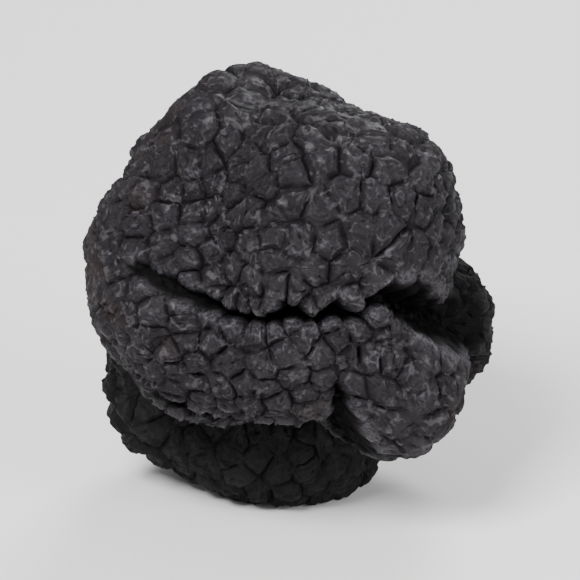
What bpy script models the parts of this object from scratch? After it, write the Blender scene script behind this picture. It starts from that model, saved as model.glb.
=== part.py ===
"""Black truffle: the whole fruit body as one warted solid that rests on a small pressed spot.

Metres, +Z up. The origin lies on the resting surface under the middle of the body. The long
furrow crosses the side that faces -Y, which is called the front here.

The surface is worked out on a unit sphere first: a net of warts is laid over it, and each point of
the net is then moved out to where the lobes, swells, furrows and warts put the skin.
"""

import math

import bmesh
import bpy
import numpy as np
from mathutils import Vector

MM = 0.001

# Overall size, wart tips included
WIDTH = 28 * MM
DEPTH = 25 * MM
HEIGHT = 30 * MM

# How much of the underside is pressed flat where the truffle rests, the corners of the flat spot
# that is left, and how steeply the skin rises outside it
PRESSED = 1.6 * MM
SPOT = np.array([(-4.8, -1.4), (3.3, -1.6), (-1.0, 6.4)]) * MM
SPOT_RISE = 0.25

# Warts: pitch of the spiral that their middles start from, height over the seams, and how unevenly
# they grow, on the body and along the banks of a furrow
WART_PITCH = 1.57 * MM
WART_RELIEF = 0.56 * MM
WART_STRAY = 0.34
BANK_STRAY = 0.30
SHORTEST_SEAM = 0.22 * MM
SEED = 11

# The least share of the pitch between two warts, the rounds in which they then push each other
# apart, and how finely the ground they share is sampled for that
LEAST_ROOM = 0.74
SETTLING_ROUNDS = 1
PLACES_PER_WART = 60

# A wart's profile: the shoulder's share of the way from the seam to the tip, and of the height
SHOULDER_IN = 0.40
SHOULDER_UP = 0.78
SHOULDER_SPREAD = 0.22
TIP_SPREAD = 0.30
TIP_STRAY = 0.14 * MM

# Half the body's size each way without its warts
HALF = np.array([WIDTH, DEPTH, HEIGHT]) / 2 - WART_RELIEF
MEAN_HALF = float(HALF.mean())

# Lobes that the body is grown together from, as (middle, radius) in millimetres from its centre
LOBES = {
    "heart": ((0.0, 1.0, 1.0), 9.6),
    "upper lobe": ((2.8, -3.8, 5.4), 8.6),
    "crown": ((-2.6, 2.2, 6.2), 8.2),
    "left cheek": ((-6.2, -2.2, 1.8), 7.6),
    "right knob": ((9.4, -0.4, -2.0), 4.4),
    "lower right lobe": ((6.4, -5.9, -3.8), 5.4),
    "lower left lobe": ((-0.4, -7.1, -1.6), 5.1),
    "lower left cheek": ((-5.0, -5.8, -1.5), 5.4),
    "left heel": ((-5.0, 3.2, -6.2), 7.6),
    "heel": ((-0.6, 1.4, -8.2), 7.6),
    "right haunch": ((4.9, 3.4, -5.4), 6.9),
    "back lobe": ((-3.4, 5.2, 0.6), 7.2),
    "back shoulder": ((3.0, 4.0, 3.6), 7.4),
}
LOBE_BLEND = 18

# Furrows as stations of (across, up, half width, depth) in millimetres, on one side of the body
FRONT, BACK = -1, 1
FURROWS = {
    "long furrow": (
        FRONT,
        [
            (-9.6, 19.4, 0.7, 0.6),
            (-6.8, 18.4, 0.9, 1.5),
            (-4.2, 17.3, 0.8, 2.0),
            (-1.8, 17.2, 0.8, 2.4),
            (0.0, 17.9, 1.2, 3.0),
            (1.7, 17.3, 0.6, 2.4),
            (3.1, 18.0, 1.2, 3.0),
            (4.4, 17.4, 0.8, 2.8),
            (5.6, 18.5, 0.9, 3.0),
            (7.2, 18.3, 1.6, 3.6),
            (8.8, 17.2, 1.9, 3.5),
            (10.6, 15.4, 2.1, 2.8),
            (12.8, 13.8, 1.9, 1.2),
        ],
    ),
    "lower notch": (
        FRONT,
        [
            (3.3, 11.9, 0.7, 0.3),
            (3.6, 10.6, 1.0, 1.2),
            (3.9, 9.2, 1.4, 2.4),
            (4.2, 7.6, 1.7, 2.6),
            (4.8, 5.8, 1.5, 1.0),
        ],
    ),
    "under fold": (
        FRONT,
        [
            (-8.8, 10.4, 0.8, 0.4),
            (-6.2, 8.9, 1.1, 1.2),
            (-3.4, 8.1, 1.2, 1.7),
            (-0.6, 7.9, 1.2, 1.7),
            (2.0, 8.3, 1.1, 1.2),
        ],
    ),
    "back furrow": (
        BACK,
        [
            (-8.2, 21.0, 0.6, 0.4),
            (-6.0, 21.8, 0.8, 1.0),
            (-4.0, 20.2, 0.7, 1.4),
            (-3.4, 17.8, 1.2, 2.2),
            (-1.0, 16.4, 0.9, 1.9),
            (0.8, 14.6, 1.4, 2.4),
            (0.8, 12.2, 0.9, 1.8),
            (3.0, 10.4, 1.3, 1.7),
            (5.6, 11.0, 0.8, 1.0),
            (7.6, 9.4, 0.6, 0.4),
        ],
    ),
    "crown crease": (
        BACK,
        [
            (-4.2, 28.0, 0.6, 0.3),
            (-2.0, 27.0, 0.9, 0.9),
            (0.0, 28.0, 0.7, 1.0),
            (2.0, 26.6, 1.1, 1.5),
            (2.6, 24.2, 0.7, 1.2),
            (4.8, 22.8, 0.7, 0.5),
        ],
    ),
}
STATIONS_BETWEEN = 8

# Across a furrow, in half widths: a flat floor, walls that end at the lips, and a wider and
# shallower valley round them; the warts stay lower inside
FLOOR_SPAN, CLEFT_SPAN, CLEFT_SHARE = 0.25, 1.25, 0.85
VALLEY_SPAN, VALLEY_SHARE = 2.4, 0.22
RELIEF_LOST_INSIDE = 0.2

# Low swells all over the body
SWELL_WAVES = 14
SWELL_HEIGHT = 0.25 * MM
SWELL_LENGTHS = (6 * MM, 12 * MM)

# Near-black rind with a blue-grey cast
RIND_COLOUR = (0.030, 0.028, 0.031, 1.0)
RIND_ROUGHNESS = 0.62


def clear_scene():
    for obj in list(bpy.data.objects):
        bpy.data.objects.remove(obj, do_unlink=True)


def unit(vectors):
    """The vectors, each at length one."""
    return vectors / np.linalg.norm(vectors, axis=-1, keepdims=True)


def smoothstep(x):
    x = np.clip(x, 0, 1)
    return x * x * (3 - 2 * x)


def towards(across, up, side):
    """From the body's centre to the place that far across and up, on its front or its back."""
    above = up - HEIGHT / 2
    left = max(0.0, 1 - (across / HALF[0]) ** 2 - (above / HALF[2]) ** 2)
    return np.array([across, side * HALF[1] * math.sqrt(left), above])


def curve_through(stations, between):
    """A smooth line through the stations, with that many points from each to the next (Catmull-Rom)."""
    padded = np.vstack([2 * stations[0] - stations[1], stations, 2 * stations[-1] - stations[-2]])
    line = []
    for a, b, c, d in zip(padded, padded[1:], padded[2:], padded[3:]):
        for t in np.arange(between) / between:
            bend = 2 * a - 5 * b + 4 * c - d
            turn = 3 * b - a - 3 * c + d
            line.append(b + ((c - a) * t + bend * t**2 + turn * t**3) / 2)
    return np.array(line + [stations[-1]])


def furrow_line(side, stations):
    """A furrow's course as (directions, half widths, depths)."""
    line = curve_through(np.array(stations) * MM, STATIONS_BETWEEN)
    course = unit(np.array([towards(across, up, side) for across, up, _, _ in line]))
    return course, line[:, 2], line[:, 3]


def furrow_depth(directions):
    """How deep the furrows cut below the body, and how far inside a furrow each place is, from 0 to 1."""
    depth = np.zeros(len(directions))
    inside = np.zeros(len(directions))
    for side, stations in FURROWS.values():
        course, half_widths, depths = furrow_line(side, stations)
        away = np.linalg.norm(directions[:, None] - course[None], axis=2) * MEAN_HALF
        nearest = away.argmin(axis=1)
        share = away.min(axis=1) / half_widths[nearest]
        cleft = 1 - smoothstep((share - FLOOR_SPAN) / (CLEFT_SPAN - FLOOR_SPAN))
        valley = np.exp(-((share / VALLEY_SPAN) ** 2))
        depth = np.maximum(depth, depths[nearest] * (CLEFT_SHARE * cleft + VALLEY_SHARE * valley))
        inside = np.maximum(inside, cleft)
    return depth, inside


def swell(directions):
    """Low seeded waves over the whole body."""
    draw = np.random.RandomState(SEED)
    height = np.zeros(len(directions))
    for _ in range(SWELL_WAVES):
        heading = unit(draw.normal(size=3))
        length = draw.uniform(*SWELL_LENGTHS)
        phase = draw.uniform(0, 2 * math.pi)
        height += np.sin(directions @ heading * MEAN_HALF * 2 * math.pi / length + phase)
    return height * SWELL_HEIGHT / math.sqrt(SWELL_WAVES / 2)


def lobed_reach(directions):
    """How far the lobes reach from the centre in those directions, blended where they meet."""
    total = np.zeros(len(directions))
    for middle, radius in LOBES.values():
        middle = np.array(middle) * MM
        along = directions @ middle
        chord = along**2 - middle @ middle + (radius * MM) ** 2
        leaves = np.maximum(along + np.sqrt(np.maximum(chord, 0)), 0)
        total += (leaves / MEAN_HALF) ** LOBE_BLEND
    return total ** (1 / LOBE_BLEND) * MEAN_HALF


def spiral(count):
    """That many directions, spread evenly over the sphere along one spiral."""
    index = np.arange(count)
    turn = math.pi * (3 - math.sqrt(5)) * index
    up = 1 - (2 * index + 1) / count
    ring = np.sqrt(1 - up**2)
    return np.column_stack([ring * np.cos(turn), ring * np.sin(turn), up])


def furrow_side_seeds(pitch, draw):
    """Wart middles at uneven steps along both banks of each furrow, so that a seam runs down its floor."""
    seeds = []
    for side, stations in FURROWS.values():
        course, _, _ = furrow_line(side, stations)
        steps = np.linalg.norm(np.diff(course, axis=0), axis=1)
        along = np.concatenate([[0], np.cumsum(steps)])
        for bank in (pitch / 2, -pitch / 2):
            distance = draw.uniform(0, pitch)
            while distance < along[-1]:
                i = max(1, int(np.searchsorted(along, distance)))
                ahead = unit(course[i] - course[i - 1])
                seeds.append(course[i] + unit(np.cross(course[i], ahead)) * bank)
                distance += pitch * (1 + BANK_STRAY * draw.uniform(-1, 1))
    return unit(np.array(seeds))


def with_room(kept, others, room):
    """The kept seeds, and after them each other seed that stands at least that far from all before it."""
    for seed in others:
        if np.linalg.norm(kept - seed, axis=1).min() > room:
            kept = np.vstack([kept, seed])
    return kept


def settled(seeds, staying):
    """The seeds after all but the first few moved to the middle of what lies nearest to each."""
    places = spiral(PLACES_PER_WART * len(seeds))
    for _ in range(SETTLING_ROUNDS):
        nearest = (places @ seeds.T).argmax(axis=1)
        ground = np.zeros(seeds.shape)
        np.add.at(ground, nearest, places)
        seeds = np.vstack([seeds[:staying], unit(ground[staying:])])
    return seeds


def wart_seeds():
    """The middle of every wart as a direction: the furrows' banks, then a shaken spiral elsewhere."""
    draw = np.random.RandomState(SEED)
    pitch = WART_PITCH / MEAN_HALF
    even = spiral(round(4 * math.pi / (pitch**2 * math.sqrt(3) / 2)))
    shaken = unit(even + draw.normal(size=even.shape) * pitch * WART_STRAY)
    banks = furrow_side_seeds(pitch, draw)
    banks = with_room(banks[:1], banks[1:], LEAST_ROOM * pitch)
    return settled(with_room(banks, shaken, LEAST_ROOM * pitch), len(banks))


def ground_of_warts(seeds):
    """The unit sphere shared out as polygons, each the ground that lies nearest to one seed.

    Three seeds that are neighbours meet at the direction their triangle faces, which is a corner of
    all three grounds. Corners that would leave a very short seam are made one.
    """
    hull = bmesh.new()
    for seed in seeds:
        hull.verts.new(seed)
    bmesh.ops.convex_hull(hull, input=hull.verts)
    hull.normal_update()
    net = bmesh.new()
    corner = {face: net.verts.new(face.normal) for face in hull.faces}
    for seed in hull.verts:
        out = np.array(seed.co)
        sideways = unit(np.cross(out, (0.3, 0.5, 0.8)))
        upward = np.cross(out, sideways)
        around = sorted(
            seed.link_faces,
            key=lambda face: math.atan2(face.normal.dot(upward), face.normal.dot(sideways)),
        )
        net.faces.new([corner[face] for face in around])
    hull.free()
    bmesh.ops.remove_doubles(net, verts=net.verts, dist=SHORTEST_SEAM / MEAN_HALF)
    return net


def raise_warts(net):
    """Builds a blunt pyramid on every ground: a steep flank up to a shoulder, then a low roof to a tip.

    Returns the layer of heights: 0 along the seams, and about 1 at the tips.
    """
    rise = net.verts.layers.float.new("rise")
    draw = np.random.RandomState(SEED)
    for ground in list(net.faces):
        corners = list(ground.verts)
        net.faces.remove(ground)
        stray = Vector(draw.normal(size=3)) * TIP_STRAY / MEAN_HALF
        middle = sum((vert.co for vert in corners), Vector()) / len(corners) + stray
        height = 1 + TIP_SPREAD * draw.uniform(-1, 1)
        tip = net.verts.new(middle)
        tip[rise] = height
        shoulders = []
        for vert in corners:
            shoulder = net.verts.new(vert.co.lerp(middle, SHOULDER_IN))
            shoulder[rise] = height * SHOULDER_UP * (1 + SHOULDER_SPREAD * draw.uniform(-1, 1))
            shoulders.append(shoulder)
        for i, vert in enumerate(corners):
            following = (i + 1) % len(corners)
            net.faces.new([vert, corners[following], shoulders[following], shoulders[i]])
            net.faces.new([shoulders[i], shoulders[following], tip])
    bmesh.ops.triangulate(net, faces=net.faces, quad_method="SHORT_EDGE")
    return rise


def seat(skin):
    """Lifts what lies outside the flat spot, and puts the nearest point on each of its corners.

    Three corners that lie further out than anything else on the ground keep the truffle from rocking.
    """
    outside = np.full(len(skin), -np.inf)
    for corner, following in zip(SPOT, np.roll(SPOT, -1, axis=0)):
        along = unit(following - corner)
        outside = np.maximum(outside, (skin[:, :2] - corner) @ (along[1], -along[0]))
    skin[:, 2] = np.maximum(skin[:, 2], SPOT_RISE * outside)
    for corner in SPOT:
        on_ground = np.append(corner, 0)
        skin[np.linalg.norm(skin - on_ground, axis=1).argmin()] = on_ground


def lay_on_body(net, rise):
    """Moves the net out to the skin, presses its underside flat, sizes it and seats it."""
    directions = unit(np.array([vert.co for vert in net.verts]))
    rises = np.array([vert[rise] for vert in net.verts])
    depth, inside = furrow_depth(directions)
    relief = WART_RELIEF * rises * (1 - RELIEF_LOST_INSIDE * inside)
    reach = lobed_reach(directions) + swell(directions) - depth + relief
    skin = directions * reach[:, None]
    skin[:, 2] = np.maximum(skin[:, 2] - skin[:, 2].min() - PRESSED, 0)
    low, high = skin.min(axis=0), skin.max(axis=0)
    skin[:, :2] -= (low[:2] + high[:2]) / 2
    skin *= np.array([WIDTH, DEPTH, HEIGHT]) / (high - low)
    seat(skin)
    for vert, place in zip(net.verts, skin):
        vert.co = place


def rind_material():
    material = bpy.data.materials.new("truffle_rind")
    material.use_nodes = True
    shader = material.node_tree.nodes["Principled BSDF"]
    shader.inputs["Base Color"].default_value = RIND_COLOUR
    shader.inputs["Roughness"].default_value = RIND_ROUGHNESS
    shader.inputs["Metallic"].default_value = 0.0
    material.diffuse_color = RIND_COLOUR
    return material


def make_truffle():
    net = ground_of_warts(wart_seeds())
    rise = raise_warts(net)
    lay_on_body(net, rise)
    bmesh.ops.recalc_face_normals(net, faces=net.faces)
    mesh = bpy.data.meshes.new("truffle")
    net.to_mesh(mesh)
    net.free()
    mesh.materials.append(rind_material())
    truffle = bpy.data.objects.new("truffle", mesh)
    bpy.context.scene.collection.objects.link(truffle)
    return truffle


clear_scene()
make_truffle()
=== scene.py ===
# %% [markdown]
# # A black truffle
#
# The truffle grew as one body: lobes that grew into each other, furrows where they met, and a rind
# of many-sided warts packed edge to edge. The solid model already holds all of that in some ten
# thousand flat faces. This lesson builds the same body again, with the same numbers, from many
# more and smaller faces, so that every wart gets a worn top, sharp ridges and its own grain, and
# then mixes the near-black colours of the rind.
#
# The first cell loads the solid model, which stays the measure of where everything is.

# %% Load the solid model
import math

import bmesh
import bpy
import numpy as np
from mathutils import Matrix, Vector, noise


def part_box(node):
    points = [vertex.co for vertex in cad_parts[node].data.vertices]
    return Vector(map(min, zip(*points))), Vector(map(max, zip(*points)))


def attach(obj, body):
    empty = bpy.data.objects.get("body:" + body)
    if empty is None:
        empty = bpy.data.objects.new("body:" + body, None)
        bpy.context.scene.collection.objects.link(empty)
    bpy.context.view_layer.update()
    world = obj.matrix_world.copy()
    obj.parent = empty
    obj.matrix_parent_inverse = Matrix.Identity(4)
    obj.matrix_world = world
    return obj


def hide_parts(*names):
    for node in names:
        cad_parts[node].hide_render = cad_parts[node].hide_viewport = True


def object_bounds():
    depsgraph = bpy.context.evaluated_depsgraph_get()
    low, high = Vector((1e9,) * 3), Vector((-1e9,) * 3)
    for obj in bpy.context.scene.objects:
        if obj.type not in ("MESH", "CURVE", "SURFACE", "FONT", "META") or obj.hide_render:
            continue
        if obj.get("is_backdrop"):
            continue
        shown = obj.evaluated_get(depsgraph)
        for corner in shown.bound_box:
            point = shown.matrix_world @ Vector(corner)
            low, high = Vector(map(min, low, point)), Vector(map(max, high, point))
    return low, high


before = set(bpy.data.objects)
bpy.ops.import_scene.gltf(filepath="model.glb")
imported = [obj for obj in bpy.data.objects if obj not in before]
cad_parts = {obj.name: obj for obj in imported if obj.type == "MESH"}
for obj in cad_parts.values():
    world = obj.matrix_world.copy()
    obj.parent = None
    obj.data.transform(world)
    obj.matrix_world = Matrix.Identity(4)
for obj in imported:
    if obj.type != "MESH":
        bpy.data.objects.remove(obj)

MM = 0.001
solid_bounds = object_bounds()
low_corner, high_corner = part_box("truffle")
SIZE = np.round(np.array(high_corner) - np.array(low_corner), 5)
print("the solid truffle measures", SIZE / MM, "mm")

# %% [markdown]
# ## The body under the warts
#
# A truffle swells between stones, so its form is a handful of round lobes that run into each other.
# Seen from the middle of the body, each lobe is a ball that a ray leaves at some distance, and the
# skin is where the furthest ball ends. A plain maximum would leave knife-sharp creases. A high
# power mean of the distances, the trick that smooth metaballs use, rounds each crease a little.

# %% The lobes
WART_RELIEF = 0.56 * MM
HALF = SIZE / 2 - WART_RELIEF
MEAN_HALF = float(HALF.mean())
SEED = 11

LOBES = {
    "heart": ((0.0, 1.0, 1.0), 9.6),
    "upper lobe": ((2.8, -3.8, 5.4), 8.6),
    "crown": ((-2.6, 2.2, 6.2), 8.2),
    "left cheek": ((-6.2, -2.2, 1.8), 7.6),
    "right knob": ((9.4, -0.4, -2.0), 4.4),
    "lower right lobe": ((6.4, -5.9, -3.8), 5.4),
    "lower left lobe": ((-0.4, -7.1, -1.6), 5.1),
    "lower left cheek": ((-5.0, -5.8, -1.5), 5.4),
    "left heel": ((-5.0, 3.2, -6.2), 7.6),
    "heel": ((-0.6, 1.4, -8.2), 7.6),
    "right haunch": ((4.9, 3.4, -5.4), 6.9),
    "back lobe": ((-3.4, 5.2, 0.6), 7.2),
    "back shoulder": ((3.0, 4.0, 3.6), 7.4),
}
LOBE_BLEND = 18
NOT_ZERO = 1e-9


def unit(vectors):
    """The vectors, each at length one."""
    return vectors / np.linalg.norm(vectors, axis=-1, keepdims=True)


def smoothstep(x, start=0.0, end=1.0):
    """0 below start, 1 above end, and a smooth step from one to the other."""
    x = np.clip((x - start) / (end - start), 0, 1)
    return x * x * (3 - 2 * x)


def lobed_reach(directions, names=tuple(LOBES)):
    """How far those lobes reach from the centre in those directions, blended where they meet."""
    total = np.zeros(len(directions))
    for name in names:
        middle, radius = LOBES[name]
        middle = np.array(middle) * MM
        along = directions @ middle
        chord = along**2 - middle @ middle + (radius * MM) ** 2
        leaves = np.maximum(along + np.sqrt(np.maximum(chord, 0)), 0)
        total += (leaves / MEAN_HALF) ** LOBE_BLEND
    return total ** (1 / LOBE_BLEND) * MEAN_HALF


print(len(LOBES), "lobes make the body")

# %% [markdown]
# ## Furrows
#
# Where lobes met as they grew, the rind folded in. Each furrow is a list of stations, read as
# across, up, half width and depth in millimetres, and a smooth curve through them gives its course.
# Depth falls off to both sides: a narrow cleft with a wider and shallower valley round it.

# %% The furrows' courses
FRONT, BACK = -1, 1
FURROWS = {
    "long furrow": (
        FRONT,
        [
            (-9.6, 19.4, 0.7, 0.6),
            (-6.8, 18.4, 0.9, 1.5),
            (-4.2, 17.3, 0.8, 2.0),
            (-1.8, 17.2, 0.8, 2.4),
            (0.0, 17.9, 1.2, 3.0),
            (1.7, 17.3, 0.6, 2.4),
            (3.1, 18.0, 1.2, 3.0),
            (4.4, 17.4, 0.8, 2.8),
            (5.6, 18.5, 0.9, 3.0),
            (7.2, 18.3, 1.6, 3.6),
            (8.8, 17.2, 1.9, 3.5),
            (10.6, 15.4, 2.1, 2.8),
            (12.8, 13.8, 1.9, 1.2),
        ],
    ),
    "lower notch": (
        FRONT,
        [
            (3.3, 11.9, 0.7, 0.3),
            (3.6, 10.6, 1.0, 1.2),
            (3.9, 9.2, 1.4, 2.4),
            (4.2, 7.6, 1.7, 2.6),
            (4.8, 5.8, 1.5, 1.0),
        ],
    ),
    "under fold": (
        FRONT,
        [
            (-8.8, 10.4, 0.8, 0.4),
            (-6.2, 8.9, 1.1, 1.2),
            (-3.4, 8.1, 1.2, 1.7),
            (-0.6, 7.9, 1.2, 1.7),
            (2.0, 8.3, 1.1, 1.2),
        ],
    ),
    "back furrow": (
        BACK,
        [
            (-8.2, 21.0, 0.6, 0.4),
            (-6.0, 21.8, 0.8, 1.0),
            (-4.0, 20.2, 0.7, 1.4),
            (-3.4, 17.8, 1.2, 2.2),
            (-1.0, 16.4, 0.9, 1.9),
            (0.8, 14.6, 1.4, 2.4),
            (0.8, 12.2, 0.9, 1.8),
            (3.0, 10.4, 1.3, 1.7),
            (5.6, 11.0, 0.8, 1.0),
            (7.6, 9.4, 0.6, 0.4),
        ],
    ),
    "crown crease": (
        BACK,
        [
            (-4.2, 28.0, 0.6, 0.3),
            (-2.0, 27.0, 0.9, 0.9),
            (0.0, 28.0, 0.7, 1.0),
            (2.0, 26.6, 1.1, 1.5),
            (2.6, 24.2, 0.7, 1.2),
            (4.8, 22.8, 0.7, 0.5),
        ],
    ),
}
STATIONS_BETWEEN = 8


def towards(across, up, side):
    """From the body's centre to the place that far across and up, on its front or its back."""
    above = up - SIZE[2] / 2
    left = max(0.0, 1 - (across / HALF[0]) ** 2 - (above / HALF[2]) ** 2)
    return np.array([across, side * HALF[1] * math.sqrt(left), above])


def curve_through(stations, between):
    """A smooth line through the stations, with that many points from each to the next (Catmull-Rom)."""
    padded = np.vstack([2 * stations[0] - stations[1], stations, 2 * stations[-1] - stations[-2]])
    line = []
    for a, b, c, d in zip(padded, padded[1:], padded[2:], padded[3:]):
        for t in np.arange(between) / between:
            bend = 2 * a - 5 * b + 4 * c - d
            turn = 3 * b - a - 3 * c + d
            line.append(b + ((c - a) * t + bend * t**2 + turn * t**3) / 2)
    return np.array(line + [stations[-1]])


def furrow_line(side, stations):
    """A furrow's course as (directions, half widths, depths)."""
    line = curve_through(np.array(stations) * MM, STATIONS_BETWEEN)
    course = unit(np.array([towards(across, up, side) for across, up, _, _ in line]))
    return course, line[:, 2], line[:, 3]


for name, (side, stations) in FURROWS.items():
    course, _, depths = furrow_line(side, stations)
    length = np.linalg.norm(np.diff(course, axis=0), axis=1).sum() * MEAN_HALF
    print(f"{name}: about {length / MM:.0f} mm long and {depths.max() / MM:.1f} mm deep")

# %% [markdown]
# The same pass over the furrows gives what the later steps need: how deep the skin lies, how far
# inside a furrow a place is, how near it is to the rim of a lip and how far past its edge, and how
# far the swollen lips lean over the cleft. A distance from the centre alone can't make an overhang,
# so the lips are made by turning the direction itself.

# %% Depth of the furrows and the lean of their lips
FLOOR_SPAN, CLEFT_SPAN, CLEFT_SHARE = 0.25, 1.25, 0.85
VALLEY_SPAN, VALLEY_SHARE = 2.4, 0.22
LIP_AT, LIP_SPAN, LIP_LEAN = 0.95, 0.4, 0.22
RIM_AT, RIM_WIDTH = 1.15, 0.22 * MM
FULL_INSIDE_FROM, FULL_RIM_FROM = 1 * MM, 2 * MM


def furrow_fall(directions):
    """Depth below the body, shares inside a furrow and on its rim, the way in past the lip's edge,
    which counts for less in a shallow furrow, and the lean towards the furrow's middle."""
    depth = np.zeros(len(directions))
    inside = np.zeros(len(directions))
    rim = np.zeros(len(directions))
    way_in = np.full(len(directions), -np.inf)
    lean = np.zeros(directions.shape)
    for side, stations in FURROWS.values():
        course, half_widths, depths = furrow_line(side, stations)
        away = np.linalg.norm(directions[:, None] - course[None], axis=2) * MEAN_HALF
        nearest = away.argmin(axis=1)
        away = away.min(axis=1)
        half_width, deepest = half_widths[nearest], depths[nearest]
        share = away / half_width
        cleft = 1 - smoothstep(share, FLOOR_SPAN, CLEFT_SPAN)
        valley = np.exp(-((share / VALLEY_SPAN) ** 2))
        lip = np.exp(-(((share - LIP_AT) / LIP_SPAN) ** 2)) * LIP_LEAN * deepest / depths.max()
        inward = course[nearest] - directions
        inward /= np.maximum(np.linalg.norm(inward, axis=1, keepdims=True), NOT_ZERO)
        lean += inward * (lip * half_width / MEAN_HALF)[:, None]
        depth = np.maximum(depth, deepest * (CLEFT_SHARE * cleft + VALLEY_SHARE * valley))
        deep_enough = np.minimum(1, deepest / FULL_INSIDE_FROM)
        inside = np.maximum(inside, cleft * deep_enough)
        way_in = np.maximum(way_in, (half_width - away) * deep_enough)
        on_rim = np.exp(-(((away - RIM_AT * half_width) / RIM_WIDTH) ** 2))
        rim = np.maximum(rim, on_rim * np.minimum(1, deepest / FULL_RIM_FROM))
    return depth, inside, rim, way_in, lean


# %% [markdown]
# Between its furrows a truffle isn't smoothly round either, because it pushed against stones and
# roots. A sum of sine waves in random directions gives low swells, and the solid's own seed makes
# them the same ones.

# %% Low swells all over the body
SWELL_WAVES = 14
SWELL_HEIGHT = 0.25 * MM
SWELL_LENGTHS = (6 * MM, 12 * MM)


def swell(directions):
    """Low seeded waves over the whole body."""
    draw = np.random.RandomState(SEED)
    height = np.zeros(len(directions))
    for _ in range(SWELL_WAVES):
        heading = unit(draw.normal(size=3))
        length = draw.uniform(*SWELL_LENGTHS)
        phase = draw.uniform(0, 2 * math.pi)
        height += np.sin(directions @ heading * MEAN_HALF * 2 * math.pi / length + phase)
    return height * SWELL_HEIGHT / math.sqrt(SWELL_WAVES / 2)


print("swells of", SWELL_HEIGHT / MM, "mm")

# %% [markdown]
# ## The net of warts
#
# Warts press against each other as they grow, so each one keeps the ground that is nearer to its own
# middle than to any other. That is a Voronoi net. Blender's convex hull gives it on a ball for free:
# the hull of points on a ball is their Delaunay net, and the direction each hull triangle faces is
# the corner where three warts meet. The seeds are drawn with the solid's own seed, so every wart
# stands where the solid has it, and two rows of seeds on a furrow's banks put a seam on its floor.

# %% The middles of the warts
WART_PITCH = 1.57 * MM
WART_STRAY = 0.34
BANK_STRAY = 0.30
LEAST_ROOM = 0.74
SETTLING_ROUNDS = 1
PLACES_PER_WART = 60
SHORTEST_SEAM = 0.22 * MM


def spiral(count):
    """That many directions, spread evenly over the ball along one spiral."""
    index = np.arange(count)
    turn = math.pi * (3 - math.sqrt(5)) * index
    up = 1 - (2 * index + 1) / count
    ring = np.sqrt(1 - up**2)
    return np.column_stack([ring * np.cos(turn), ring * np.sin(turn), up])


def furrow_side_seeds(pitch, draw):
    """Wart middles at uneven steps on both banks of each furrow, so that a seam follows its floor."""
    seeds = []
    for side, stations in FURROWS.values():
        course, _, _ = furrow_line(side, stations)
        steps = np.linalg.norm(np.diff(course, axis=0), axis=1)
        along = np.concatenate([[0], np.cumsum(steps)])
        for bank in (pitch / 2, -pitch / 2):
            distance = draw.uniform(0, pitch)
            while distance < along[-1]:
                i = max(1, int(np.searchsorted(along, distance)))
                ahead = unit(course[i] - course[i - 1])
                seeds.append(course[i] + unit(np.cross(course[i], ahead)) * bank)
                distance += pitch * (1 + BANK_STRAY * draw.uniform(-1, 1))
    return unit(np.array(seeds))


def with_room(kept, others, room):
    """The kept seeds, then each other seed that stands at least that far from all before it."""
    for seed in others:
        if np.linalg.norm(kept - seed, axis=1).min() > room:
            kept = np.vstack([kept, seed])
    return kept


def settled(seeds, staying):
    """The seeds after all but the first few moved to the middle of what lies nearest to each."""
    places = spiral(PLACES_PER_WART * len(seeds))
    for _ in range(SETTLING_ROUNDS):
        nearest = (places @ seeds.T).argmax(axis=1)
        ground = np.zeros(seeds.shape)
        np.add.at(ground, nearest, places)
        seeds = np.vstack([seeds[:staying], unit(ground[staying:])])
    return seeds


def wart_seeds():
    """The middle of every wart as a direction: the furrows' banks, then a shaken spiral elsewhere."""
    draw = np.random.RandomState(SEED)
    pitch = WART_PITCH / MEAN_HALF
    even = spiral(round(4 * math.pi / (pitch**2 * math.sqrt(3) / 2)))
    shaken = unit(even + draw.normal(size=even.shape) * pitch * WART_STRAY)
    banks = furrow_side_seeds(pitch, draw)
    banks = with_room(banks[:1], banks[1:], LEAST_ROOM * pitch)
    return settled(with_room(banks, shaken, LEAST_ROOM * pitch), len(banks))


# %% The ground of each wart
def ground_of_warts(seeds):
    """The unit ball shared out as polygons, each the ground that lies nearest to one seed."""
    hull = bmesh.new()
    for seed in seeds:
        hull.verts.new(seed)
    bmesh.ops.convex_hull(hull, input=hull.verts)
    hull.normal_update()
    net = bmesh.new()
    corner = {face: net.verts.new(face.normal) for face in hull.faces}
    for seed in hull.verts:
        out = np.array(seed.co)
        sideways = unit(np.cross(out, (0.3, 0.5, 0.8)))
        upward = np.cross(out, sideways)
        around = sorted(
            seed.link_faces,
            key=lambda face: math.atan2(face.normal.dot(upward), face.normal.dot(sideways)),
        )
        net.faces.new([corner[face] for face in around])
    hull.free()
    bmesh.ops.remove_doubles(net, verts=net.verts, dist=SHORTEST_SEAM / MEAN_HALF)
    grounds = [[np.array(vert.co) for vert in ground.verts] for ground in net.faces]
    net.free()
    return grounds


grounds = ground_of_warts(wart_seeds())
print(len(grounds), "warts, with", min(map(len, grounds)), "to", max(map(len, grounds)), "sides")

# %% [markdown]
# ## What makes one wart differ from the next
#
# The height and the stray of each tip repeat the solid's draws. A second draw, which the solid has
# no use for, gives each wart how far in its shoulder lies, whether its top has sunk, and how dark it
# is, and gives each of its facets a bulge or a hollow.

# %% Tips, heights and characters
TIP_SPREAD = 0.30
TIP_STRAY = 0.14 * MM
SHOULDERS_AT = (0.18, 0.42)
TOPS_SUNK = (-0.20, 0.30)

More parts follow.
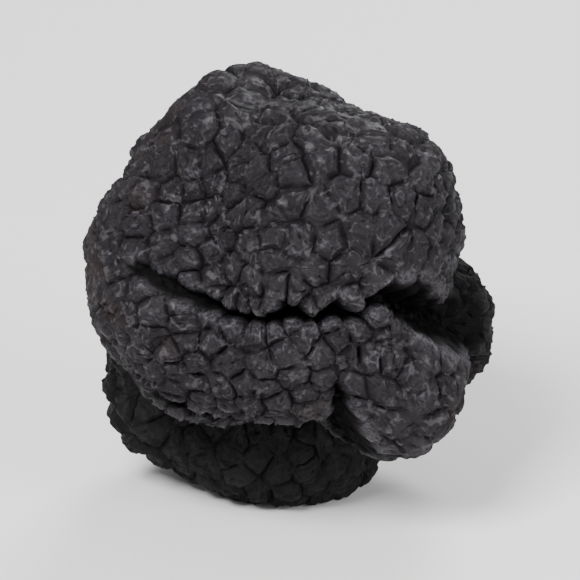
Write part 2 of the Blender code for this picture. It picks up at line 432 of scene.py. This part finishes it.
placing = np.random.RandomState(SEED)
character = np.random.RandomState(SEED + 1)
sectors = []
warts = []
for corners in grounds:
    stray = placing.normal(size=3) * TIP_STRAY / MEAN_HALF
    tip = sum(corners) / len(corners) + stray
    height = 1 + TIP_SPREAD * placing.uniform(-1, 1)
    # The solid draws once more for each corner of a wart. Drawing as often keeps the two in step.
    placing.uniform(size=len(corners))
    warts.append(
        {
            "height": height,
            "shoulder": character.uniform(*SHOULDERS_AT),
            "sunk": max(0.0, character.uniform(*TOPS_SUNK)),
            "tone": character.uniform(-1, 1),
        }
    )
    for left, right in zip(corners, corners[1:] + corners[:1]):
        sectors.append((left, right, tip, len(warts) - 1, character.uniform(-1, 1)))

print(len(sectors), "facets round", len(warts), "tips")

# %% [markdown]
# ## A fine lattice on every facet
#
# Each facet is a triangle from two corners of the wart's ground up to its tip. Cutting it into a
# lattice keeps seams and ridges on edges of the mesh, where they stay crisp, which an even grid over
# the whole truffle would blur. Two weights are kept at each point: how far up the wart it lies, and
# how near it is to a ridge, the line from a corner to the tip.

# %% Cut the facets
STEPS = 7


def triangle_lattice(steps):
    """The weights of (left corner, right corner, tip) over one facet, and its small triangles."""
    number = {}
    weights = []
    for up in range(steps + 1):
        for right in range(steps + 1 - up):
            number[up, right] = len(weights)
            weights.append((steps - up - right, right, up))
    faces = []
    for up in range(steps):
        for right in range(steps - up):
            faces.append((number[up, right], number[up, right + 1], number[up + 1, right]))
            if up + right < steps - 1:
                faces.append((number[up, right + 1], number[up + 1, right + 1], number[up + 1, right]))
    return np.array(weights) / steps, np.array(faces)


weights, small_faces = triangle_lattice(STEPS)
left, right, tip = (np.array([sector[i] for sector in sectors])[:, None] for i in range(3))
lattice = weights[:, :1] * left + weights[:, 1:2] * right + weights[:, 2:] * tip
points, first, merged = np.unique(
    lattice.reshape(-1, 3), axis=0, return_index=True, return_inverse=True
)
offsets = np.arange(len(sectors))[:, None, None] * len(weights)
faces = merged.reshape(-1)[(small_faces[None] + offsets).reshape(-1, 3)]
print(len(faces), "faces on", len(points), "points, with", STEPS, "steps up each wart")

# %% Weights and characters at every point
directions = unit(points)
sector_of_point = first // len(weights)
weight_of_point = weights[first % len(weights)]
up_wart = weight_of_point[:, 2]
beside = weight_of_point[:, 0] + weight_of_point[:, 1]
near_ridge = np.abs(weight_of_point[:, 0] - weight_of_point[:, 1]) / np.maximum(beside, NOT_ZERO)
wart_of_point = np.array([sector[3] for sector in sectors])[sector_of_point]
facet_bulge = np.array([sector[4] for sector in sectors])[sector_of_point]


def of_wart(trait):
    """A trait of the wart that each point belongs to."""
    return np.array([wart[trait] for wart in warts])[wart_of_point]


print("points on seams:", int((up_wart == 0).sum()))

# %% [markdown]
# ## Seams that wander
#
# Straight seams would look cut with a knife. Noise that moves each direction a little along the ball
# makes them wander, and the warts keep their neighbours.

# %% Bend the net
WANDER_SIZE, WANDER = 1.5 * MM, 0.17 * MM
NOISE_FROM = (0, 40 * MM, 80 * MM)


def fractal_at(places, size, octaves):
    """Fractal noise of that grain at every place, about -1 to 1."""
    return np.array([noise.fractal(Vector(place) / size, 1.0, 2.0, octaves) for place in places])


def lines_at(places, size, width):
    """1 on wandering lines, about as far apart as the size says, and 0 away from them."""
    level = np.array([noise.noise(Vector(place) / size) for place in places])
    return smoothstep(1 - np.abs(level) / width)


on_ball = directions * MEAN_HALF
shifts = [fractal_at(on_ball + offset, WANDER_SIZE, 2) for offset in NOISE_FROM]
directions = unit(on_ball + np.column_stack(shifts) * WANDER)
print(f"seams wander by up to {np.abs(shifts).max() * WANDER / MM:.2f} mm")

# %% [markdown]
# ## The profile of a wart
#
# A wart rises steeply from the seam, turns at a shoulder and ends in a low roof. That is the lower
# of two slopes, with the corner between them softened. Real ridges stand a little proud of the
# facets between them, some tops have sunk in, and the seam itself is a crack. Here and there two
# warts have grown together: noise lays a rounded floor in the seams, low in most places and nearly
# as high as the shoulders in some.

# %% Height over the seams
SHOULDER_UP, SHOULDER_ROUND = 0.78, 0.16
RIDGE_LIFT, RIDGE_SHARPNESS = 0.09, 5
FACET_BULGE = 0.16
SEAM_CRACK = 0.08 * MM
RELIEF_LOST_INSIDE = 0.4
FILLED_SIZE, FILLED_WHERE = 1.0 * MM, (-0.15, 0.55)
FILLED_FROM, FILLED_TO, FILLED_ROUND = 0.06, 0.66, 0.2


def soft_least(a, b, width):
    """The lesser of the two, with the corner where they cross rounded over that width."""
    share = np.clip(0.5 + (b - a) / (2 * width), 0, 1)
    return b + (a - b) * share - width * share * (1 - share)


shoulder = of_wart("shoulder")
steep = SHOULDER_UP * up_wart / shoulder
roof = SHOULDER_UP + (1 - SHOULDER_UP) * (up_wart - shoulder) / (1 - shoulder)
profile = soft_least(steep, roof, SHOULDER_ROUND)
profile -= of_wart("sunk") * smoothstep(up_wart, 0.5, 1.0)
flank = 4 * up_wart * (1 - up_wart)
profile += RIDGE_LIFT * flank * near_ridge**RIDGE_SHARPNESS
profile += FACET_BULGE * flank * (1 - near_ridge**2) * facet_bulge
filled = smoothstep(fractal_at(directions * MEAN_HALF, FILLED_SIZE, 2), *FILLED_WHERE)
filling = FILLED_FROM + (FILLED_TO - FILLED_FROM) * filled
raised = np.where(up_wart == 0, -SEAM_CRACK / WART_RELIEF, profile * of_wart("height"))
raised = -soft_least(-raised, -filling, FILLED_ROUND)
depth, inside, rim, way_in, lean = furrow_fall(directions)
relief = WART_RELIEF * raised * (1 - RELIEF_LOST_INSIDE * inside)
print(f"warts stand {relief.max() / MM:.2f} mm proud at most")

# %% [markdown]
# ## Lay the net on the body
#
# The bare body comes first. Warts stand on it halfway between straight out from the middle and
# square to the skin, so that they keep their form on the steep sides of a furrow. The rest follows
# the solid: pressed flat underneath, sized to the same box, and lifted a little wherever it lies
# outside the flat spot that the truffle rests on.

# %% Skin
PRESSED = 1.6 * MM
SPOT = np.array([(-4.8, -1.4), (3.3, -1.6), (-1.0, 6.4)]) * MM
SPOT_RISE = 0.25


def point_normals(mesh):
    """The mesh's normal at each point."""
    normals = np.zeros(len(mesh.vertices) * 3, dtype=np.float32)
    mesh.vertex_normals.foreach_get("vector", normals)
    return normals.reshape(-1, 3)


reach = lobed_reach(directions) + swell(directions) - depth
body = unit(directions + lean) * reach[:, None]
mesh = bpy.data.meshes.new("truffle_skin")
mesh.from_pydata(body, [], faces)
square_to_body = point_normals(mesh)
steepness = 1 - np.sum(directions * square_to_body, axis=1)
skin = body + unit(directions + square_to_body) * relief[:, None]
skin[:, 2] = np.maximum(skin[:, 2] - skin[:, 2].min() - PRESSED, 0)
lowest, highest = skin.min(axis=0), skin.max(axis=0)
skin[:, :2] -= (lowest[:2] + highest[:2]) / 2
skin *= SIZE / (highest - lowest)
for corner, following in zip(SPOT, np.roll(SPOT, -1, axis=0)):
    along = unit(following - corner)
    outside = (skin[:, :2] - corner) @ (along[1], -along[0])
    skin[:, 2] = np.maximum(skin[:, 2], SPOT_RISE * outside)

mesh.vertices.foreach_set("co", skin.ravel())
mesh.update()
truffle = bpy.data.objects.new("truffle_skin", mesh)
bpy.context.scene.collection.objects.link(truffle)
print("skin laid on", len(mesh.vertices), "points")

# %% [markdown]
# ## Weathering
#
# Warts chip and crumble. Noise that is read in space moves each point along its own normal: a coarse
# octave dents whole warts, and a fine one breaks up ridges and tops. Where a noise crosses zero it
# draws thin wandering lines: one set of them stands up as short crests, another is cut in as
# fissures. It fades out on steep furrow sides, which nothing rubs, and what touches the ground
# stays flat.

# %% Dents, crumbs, crests and fissures
DENT_SIZE, DENT_HEIGHT = 1.3 * MM, 0.09 * MM
CRUMB_SIZE, CRUMB_HEIGHT = 0.38 * MM, 0.11 * MM
CREST_SIZE, CREST_WIDTH, CREST_HEIGHT = 0.80 * MM, 0.17, 0.07 * MM
FISSURE_SIZE, FISSURE_WIDTH, FISSURE_DEPTH = 1.15 * MM, 0.12, 0.11 * MM
CRESTS_FROM = np.array([31, 7, 19]) * MM
WORN_ABOVE = 0.35
CRUMBS_IN_SEAMS = 0.35
TOO_STEEP_TO_WEAR = (0.35, 0.9)
SHARP_FROM = math.radians(38)

worn = smoothstep(up_wart, 0, WORN_ABOVE)
crests = lines_at(skin + CRESTS_FROM, CREST_SIZE, CREST_WIDTH) * worn
fissures = lines_at(skin, FISSURE_SIZE, FISSURE_WIDTH) * worn
crumbling = CRUMBS_IN_SEAMS + (1 - CRUMBS_IN_SEAMS) * worn
weathering = fractal_at(skin, DENT_SIZE, 2) * DENT_HEIGHT
weathering += fractal_at(skin, CRUMB_SIZE, 3) * CRUMB_HEIGHT * crumbling
weathering += crests * CREST_HEIGHT - fissures * FISSURE_DEPTH
weathering *= 1 - smoothstep(steepness, *TOO_STEEP_TO_WEAR)
moved = skin + point_normals(mesh) * weathering[:, None]
moved[:, 2] = np.where(skin[:, 2] <= 0, 0, np.maximum(moved[:, 2], 0))
mesh.vertices.foreach_set("co", moved.ravel())
mesh.update()
mesh.shade_smooth()
mesh.set_sharp_from_angle(angle=SHARP_FROM)
print(f"weathering moved points by up to {np.abs(weathering).max() / MM:.2f} mm")

# %% [markdown]
# ## What the rind tells its material
#
# The colour of a truffle follows its relief, so the mesh carries a few numbers at each point: its
# share of the way up the wart, how far it is raised over the seams, nearness to a ridge, whether it
# is inside a furrow, nearness to a lip's rim, the wart's own tone, where the crests and fissures
# are, and how far it belongs to the low lobes, which carry painted shade and stay nearly black.
#
# The painted shade of a furrow begins at an edge that follows the warts: their tops still catch the
# light where the seams beside them have gone dark, so the edge is as jagged as the warts make it.

# %% Numbers for the material
DARK_EDGE, WART_REACH = 0.22 * MM, 0.55 * MM
TONE_ABOVE = 0.3
# Painted shade: the low lobes and the right knob, which lie in shade, go near-black.
SHADED_LOBES = ("left heel", "heel", "right haunch", "right knob")
LOBE_SHADE_FROM, LOBE_SHADE_TO = 0.10, 0.90
LOBE_SHADE_EDGE_SIZE, LOBE_SHADE_EDGE_WAVER = 2.2 * MM, 0.45

past_wart_tops = way_in + WART_REACH * (0.5 - up_wart)
low_lobe_shade_share = (lobed_reach(directions, SHADED_LOBES) / lobed_reach(directions)) ** LOBE_BLEND
low_lobe_shade_share += LOBE_SHADE_EDGE_WAVER * fractal_at(moved, LOBE_SHADE_EDGE_SIZE, 2)
RIND_FACTS = {
    "up_wart": up_wart,
    "raised": raised,
    "near_ridge": near_ridge,
    "furrow_shade": smoothstep(past_wart_tops, 0, DARK_EDGE),
    "on_rim": rim,
    "wart_tone": of_wart("tone") * smoothstep(up_wart, 0, TONE_ABOVE),
    "crest": crests,
    "fissure": fissures,
    "low_lobe_shade": smoothstep(low_lobe_shade_share, LOBE_SHADE_FROM, LOBE_SHADE_TO),
}
for fact, values in RIND_FACTS.items():
    mesh.attributes.new(fact, "FLOAT", "POINT").data.foreach_set("value", values.astype(np.float32))
    print(f"{fact}: from {values.min():.2f} to {values.max():.2f}")

# %% [markdown]
# ## Shader sums in plain Python
#
# A material is a graph of nodes, and long sums are hard to read as nodes. This class wraps one
# output socket, so that plain Python operators add the Math nodes, and one method adds any other.

# %% A socket that can be summed
class Wire:
    """One output of a material's nodes, for use in sums."""

    def __init__(self, tree, socket=None):
        self.tree = tree
        self.socket = socket

    def node(self, kind, settings, sockets, output=0):
        """Adds a node with those settings, and values or wires on its sockets."""
        made = self.tree.nodes.new(kind)
        for name, value in settings.items():
            setattr(made, name, value)
        for name, value in sockets.items():
            if isinstance(value, Wire):
                self.tree.links.new(value.socket, made.inputs[name])
            else:
                made.inputs[name].default_value = value
        return Wire(self.tree, made.outputs[output])

    def math(self, operation, *terms):
        """Adds a Math node with that operation on those terms."""
        return self.node("ShaderNodeMath", {"operation": operation}, dict(enumerate(terms)))

    def __add__(self, other):
        return self.math("ADD", self, other)

    def __sub__(self, other):
        return self.math("SUBTRACT", self, other)

    def __rsub__(self, other):
        return self.math("SUBTRACT", other, self)

    def __mul__(self, other):
        return self.math("MULTIPLY", self, other)

    __radd__ = __add__
    __rmul__ = __mul__

    def waves(self):
        """A wave for each whole number that this climbs, from -1 to 1."""
        return self.math("SINE", self * (2 * math.pi))

    def size(self):
        """This without its sign."""
        return self.math("ABSOLUTE", self)

    def at_most(self, limit):
        return self.math("MINIMUM", self, limit)

    def between(self, start, end):
        """0 below start, 1 above end and a smooth step from one to the other."""
        limits = {"Value": self, "From Min": start, "From Max": end}
        return self.node("ShaderNodeMapRange", {"interpolation_type": "SMOOTHSTEP"}, limits)

    def mixed(self, below, above):
        """The colour below where this is 0, and the colour above where it is 1."""
        return self.node("ShaderNodeMix", {"data_type": "RGBA"}, {0: self, 6: below, 7: above}, 2)


# %% Read the rind's numbers in the material
rind = bpy.data.materials.new("truffle_rind")
rind.use_nodes = True
start = Wire(rind.node_tree)
place = start.node("ShaderNodeTexCoord", {}, {}, "Object")


def fact(name):
    """One of the rind's numbers, as the mesh carries it."""
    return start.node("ShaderNodeAttribute", {"attribute_name": name}, {}, "Fac")


def grain(size, detail, roughness=0.6):
    """Noise with features of that size, about 0.2 to 0.8."""
    sockets = {"Vector": place, "Scale": 1 / size, "Detail": detail, "Roughness": roughness}
    return start.node("ShaderNodeTexNoise", {}, sockets, "Fac")


up, high, ridge, furrow, rim_line, tone, crest, fissure, low_lobe_shade = map(fact, RIND_FACTS)
print("the material reads", ", ".join(RIND_FACTS))

# %% [markdown]
# ## Colour
#
# Black truffle rind is charcoal, a little darker on the sides of a wart than on its top, and no two
# warts are quite alike. A few patches turn reddish brown where the rind is thin. Seams and fissures
# hold brown-black dirt. Noise at four sizes, read in space, keeps all of it uneven.

# %% Charcoal, russet and dirt
FLANK_CHARCOAL = (0.0133, 0.0117, 0.0133, 1)
TOP_CHARCOAL = (0.0199, 0.0177, 0.0206, 1)
RUSSET = (0.046, 0.026, 0.020, 1)
# Black for the dirt in seams and fissures, and for the painted shade in the furrows.
DIRT_AND_SHADE_BLACK = (0.0030, 0.0026, 0.0026, 1)
RUSSET_SHARE, SEAM_SHARE, FISSURE_SHARE = 0.45, 0.3, 0.3

mottle = grain(2.4 * MM, 3)
speckle = grain(0.26 * MM, 5, 0.7)
patch = grain(6.5 * MM, 2)
break_up = grain(0.50 * MM, 3, 0.65)

lit = (high + 0.22 * tone + 0.6 * (mottle - 0.5) + 1.2 * (speckle - 0.5)).between(0.12, 1.05)
colour = lit.mixed(FLANK_CHARCOAL, TOP_CHARCOAL)
thin = patch.between(0.58, 0.74) * speckle.between(0.35, 0.6)
colour = (thin * RUSSET_SHARE).mixed(colour, RUSSET)
seam = 1 - high.between(0, 0.35)
colour = (seam * SEAM_SHARE).mixed(colour, DIRT_AND_SHADE_BLACK)
colour = (fissure * FISSURE_SHARE).mixed(colour, DIRT_AND_SHADE_BLACK)
print("bare rind mixed from four tones")

# %% [markdown]
# ## Striations and scuffs
#
# Fine striations run over the facets of each wart, parallel to its seams and up towards the tip. A
# sine wave that counts the way up and the way across draws them, and noise makes it waver.
#
# Pale shows where the rind is worn: thin scratches, and ridges, shoulders and crests, which also
# carry painted highlight. A scratch lies where a noise crosses its middle value, and a second noise
# lets only parts of it through, so that it breaks into short strokes.

# %% Pale strokes: scratches, and painted highlights on edges
SCUFF_AND_HIGHLIGHT_GREY = (0.17, 0.16, 0.178, 1)
SCUFF_AND_HIGHLIGHT_SHARE = 0.24
SCRATCH_SIZE, SCRATCH_BREAKS = 1.1 * MM, 1.0 * MM

across_lines = (up * 3.5 + speckle * 1.6).waves()
upward_lines = (ridge * 2 + break_up * 0.8).waves()
striae = across_lines * 0.5 + upward_lines * 0.5 * (1 - up)
scratches = 1 - (grain(SCRATCH_SIZE, 1) - 0.5).size().between(0.02, 0.065)
scratches = scratches * grain(SCRATCH_BREAKS, 2).between(0.50, 0.60)
on_ridge = ridge.between(0.80, 0.97) * up.between(0.10, 0.3)
on_shoulder = up.between(0.24, 0.34) * (1 - up.between(0.40, 0.50))
# Ridges, shoulders and crests: wear and painted highlight.
worn_and_highlit_edges = 0.3 * on_ridge + 0.3 * on_shoulder + 0.45 * crest.between(0.3, 1)
strokes = scratches + (worn_and_highlit_edges + 0.4 * striae.between(0.35, 0.8)) * break_up.between(0.50, 0.60)
scuffs_and_highlights = strokes.at_most(1) * (1 - furrow) * (1 - 0.8 * low_lobe_shade)
colour = (scuffs_and_highlights * SCUFF_AND_HIGHLIGHT_SHARE).mixed(colour, SCUFF_AND_HIGHLIGHT_GREY)
print("pale strokes on ridges, shoulders, crests and scratches")

# %% [markdown]
# ## What the light doesn't reach
#
# The low lobes and the deep furrows carry painted shade, near-black over everything mixed so far.
# The lips' rims are rubbed and keep a faint pale line, partly painted highlight, broken by speckle.

# %% Painted shade on low lobes and furrows, and rims
PAINTED_SHADE_BLACK = (0.0045, 0.0040, 0.0042, 1)
LOBE_SHADE_SHARE, FURROW_SHARE, RIM_SHARE = 0.8, 0.96, 0.3

# Painted shade: the low lobes go near-black.
colour = (low_lobe_shade * LOBE_SHADE_SHARE).mixed(colour, PAINTED_SHADE_BLACK)
# Painted shade: the deep furrows go near-black.
colour = (furrow * FURROW_SHARE).mixed(colour, DIRT_AND_SHADE_BLACK)
# The rims' pale line: rubbed rind and painted highlight.
pale_rim = rim_line * speckle.between(0.38, 0.58) * (1 - 0.9 * low_lobe_shade)
colour = (pale_rim * RIM_SHARE).mixed(colour, SCUFF_AND_HIGHLIGHT_GREY)
print("soaked lobes and furrows darkened")

# %% [markdown]
# ## Surface
#
# Striations and grain are far smaller than the mesh, so bump draws them. It fades in the furrows,
# where it would only catch stray light. Rind is moist: a thin coat makes it satin where it is worn
# smooth, and leaves it dull in the seams and furrows and on the low lobes with painted shade.

# %% Grain and moisture
BUMP_DEPTH = 0.13 * MM
COAT_SHARE, COAT_ROUGHNESS = 0.20, 0.40
SHEEN_UNDER_COAT = 0.06

fine = grain(0.15 * MM, 4, 0.7)
height_map = striae * 0.28 + speckle * 1.4 + fine * 1.0 + scuffs_and_highlights * 0.35
height_map = height_map * (1 - 0.8 * furrow)
bumps = {"Strength": 1.0, "Distance": BUMP_DEPTH, "Height": height_map}
bump = start.node("ShaderNodeBump", {}, bumps, "Normal")
moist = (0.25 + 0.75 * mottle.between(0.42, 0.62)) * (1 - seam) * (1 - furrow) * (1 - 0.6 * low_lobe_shade)
roughness = 0.66 + 0.22 * (speckle - 0.5) + 0.12 * seam
coat = COAT_SHARE * moist

shader = rind.node_tree.nodes["Principled BSDF"]
driven = {"Base Color": colour, "Roughness": roughness, "Coat Weight": coat, "Normal": bump}
for socket, wire in driven.items():
    rind.node_tree.links.new(wire.socket, shader.inputs[socket])
shader.inputs["Specular IOR Level"].default_value = SHEEN_UNDER_COAT
shader.inputs["Coat Roughness"].default_value = COAT_ROUGHNESS
mesh.materials.append(rind)
print("the rind has", len(rind.node_tree.nodes), "nodes")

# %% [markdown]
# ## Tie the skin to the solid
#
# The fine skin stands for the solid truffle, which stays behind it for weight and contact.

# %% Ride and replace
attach(truffle, "root")
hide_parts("truffle")

# %% [markdown]
# ## Studio
#
# A pale floor, a broad soft light from the upper left, a weaker one from the right, and a pale room
# that fills the shadows. Near-black things are drawn by their reflections, so the lights are large.

# %% Floor
FLOOR_HALF = 1.2
FLOOR_WHITE = (0.78, 0.77, 0.76, 1)
FLOOR_ROUGHNESS = 0.8

floor_mesh = bpy.data.meshes.new("floor")
floor_corners = [(x * FLOOR_HALF, y * FLOOR_HALF, 0) for x, y in ((-1, -1), (1, -1), (1, 1), (-1, 1))]
floor_mesh.from_pydata(floor_corners, [], [(0, 1, 2, 3)])
floor = bpy.data.objects.new("floor", floor_mesh)
bpy.context.scene.collection.objects.link(floor)
floor_paint = bpy.data.materials.new("floor_paint")
floor_paint.use_nodes = True
floor_shader = floor_paint.node_tree.nodes["Principled BSDF"]
floor_shader.inputs["Base Color"].default_value = FLOOR_WHITE
floor_shader.inputs["Roughness"].default_value = FLOOR_ROUGHNESS
floor_mesh.materials.append(floor_paint)
floor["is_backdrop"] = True
print("a floor", 2 * FLOOR_HALF, "m wide")

# %% Lights and room
MIDDLE = Vector((0, 0, SIZE[2] * 0.5))
ROOM_WHITE = (0.95, 0.96, 1.0, 1)
ROOM_STRENGTH = 0.46


def soft_light(name, place, width, watts):
    """A square area light that faces the truffle."""
    data = bpy.data.lights.new(name, "AREA")
    data.size = width
    data.energy = watts
    light = bpy.data.objects.new(name, data)
    light.location = place
    light.rotation_euler = (MIDDLE - Vector(place)).to_track_quat("-Z", "Y").to_euler()
    bpy.context.scene.collection.objects.link(light)


soft_light("key", (-0.14, -0.24, 0.32), 0.16, 3.2)
soft_light("fill", (0.30, -0.22, 0.16), 0.20, 1.3)
soft_light("rim", (0.10, 0.30, 0.26), 0.14, 1.6)

room = bpy.data.worlds.new("room")
bpy.context.scene.world = room
room.use_nodes = True
room.node_tree.nodes["Background"].inputs["Color"].default_value = ROOM_WHITE
room.node_tree.nodes["Background"].inputs["Strength"].default_value = ROOM_STRENGTH
print("three soft lights in a pale room")

# %% [markdown]
# ## Camera
#
# The photograph looks down by about 21 degrees, from less than half a metre away through a long lens,
# so the truffle shows little perspective.

# %% Camera
LOOK_DOWN = math.radians(21)
CAMERA_DISTANCE = 0.43
FILLED_SHARE = 0.76
SENSOR_WIDTH = 36 * MM

frame_width = SIZE[2] / FILLED_SHARE
camera_data = bpy.data.cameras.new("camera")
camera_data.lens = SENSOR_WIDTH * CAMERA_DISTANCE / frame_width / MM
camera = bpy.data.objects.new("camera", camera_data)
backwards = Vector((0, -math.cos(LOOK_DOWN), math.sin(LOOK_DOWN)))
camera.location = MIDDLE + backwards * CAMERA_DISTANCE
camera.rotation_euler = (-backwards).to_track_quat("-Z", "Y").to_euler()
bpy.context.scene.collection.objects.link(camera)
bpy.context.scene.camera = camera
print(f"a {camera_data.lens:.0f} mm lens from {CAMERA_DISTANCE} m")

# %% [markdown]
# ## Sizes and the end
#
# Both boxes, the solid's and the skin's, are printed. The skin may not outgrow the solid by
# more than a crumb.

# %% Print the sizes
boxes = {"cad": solid_bounds, "visual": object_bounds()}
for name, (low, high) in boxes.items():
    print(name, [round((b - a) / MM, 2) for a, b in zip(low, high)], "mm")
